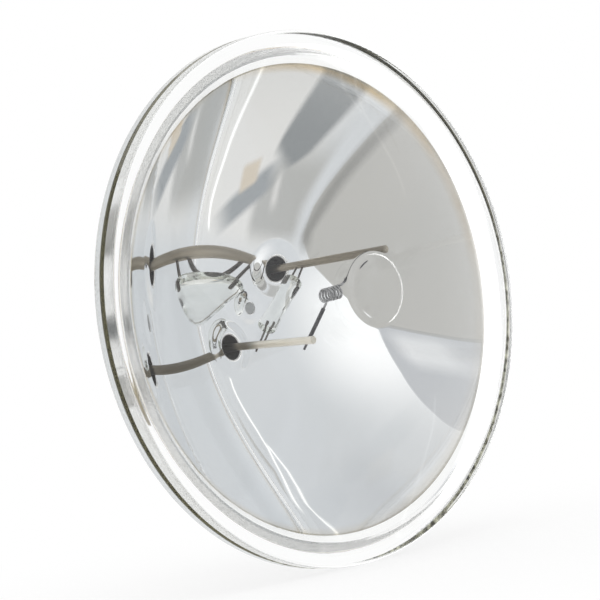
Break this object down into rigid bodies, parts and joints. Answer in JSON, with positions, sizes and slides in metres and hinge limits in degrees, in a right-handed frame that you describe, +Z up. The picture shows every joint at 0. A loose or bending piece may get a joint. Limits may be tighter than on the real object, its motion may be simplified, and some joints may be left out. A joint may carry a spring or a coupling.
{
  "type": "sealed beam spotlight bulb",
  "caption": "Sealed beam spotlight bulb: a domed clear glass lens fused to a mirrored glass bowl, with a filament coil on posts at its focus and screw terminals behind.",
  "frame": {"origin": "on the lamp's axis, at the seam in the middle of the rim", "axes": "+Y along the lamp's axis towards its terminals, so the lens faces -Y; +Z up, as the picture shows it"},
  "size_m": [0.114, 0.0629, 0.114],
  "materials": {
    "clear_glass": "clear pressed borosilicate glass, fire polished, with a stippled rim edge",
    "mirror_film": "bright evaporated aluminium film",
    "ferrule_metal": "drawn nickel-iron, dull and dark inside",
    "post_metal": "drawn nickel rod, straw coloured, satin",
    "tungsten": "dark grey drawn tungsten wire",
    "terminal_metal": "nickel-plated brass strap, satin",
    "screw_metal": "nickel-plated, turned, satin"
  },
  "bodies": {
    "lamp": {"lens": "clear_glass", "reflector": "clear_glass", "mirror_coating": "mirror_film", "exhaust_tube": "clear_glass", "filament": "tungsten", "lead_post_upper": "post_metal", "ferrule_upper": "ferrule_metal", "terminal_upper": "terminal_metal", "lead_post_lower": "post_metal", "ferrule_lower": "ferrule_metal", "terminal_lower": "terminal_metal"},
    "washer_upper": {"terminal_washer_upper": "screw_metal"},
    "screw_upper": {"terminal_screw_upper": "screw_metal"},
    "washer_lower": {"terminal_washer_lower": "screw_metal"},
    "screw_lower": {"terminal_screw_lower": "screw_metal"}
  },
  "joints": [
    {"name": "screw_upper_travel", "type": "slide", "parent": "lamp", "child": "washer_upper", "axis": [0, 1, 0], "range_m": [0, 0.0024]},
    {"name": "screw_upper_turn", "type": "hinge", "parent": "washer_upper", "child": "screw_upper", "pos_m": [0.01674, 0.04076, 0.01577], "axis": [0, 1, 0], "range_deg": [0, 1090]},
    {"name": "screw_lower_travel", "type": "slide", "parent": "lamp", "child": "washer_lower", "axis": [0, 1, 0], "range_m": [0, 0.0024]},
    {"name": "screw_lower_turn", "type": "hinge", "parent": "washer_lower", "child": "screw_lower", "pos_m": [-0.01674, 0.04076, -0.01577], "axis": [0, 1, 0], "range_deg": [0, 1090]}
  ],
  "couplings": [
    {"joint": "screw_upper_turn", "follows": "screw_upper_travel", "rad_per_m": 7915.8},
    {"joint": "screw_lower_turn", "follows": "screw_lower_travel", "rad_per_m": 7915.8}
  ]
}
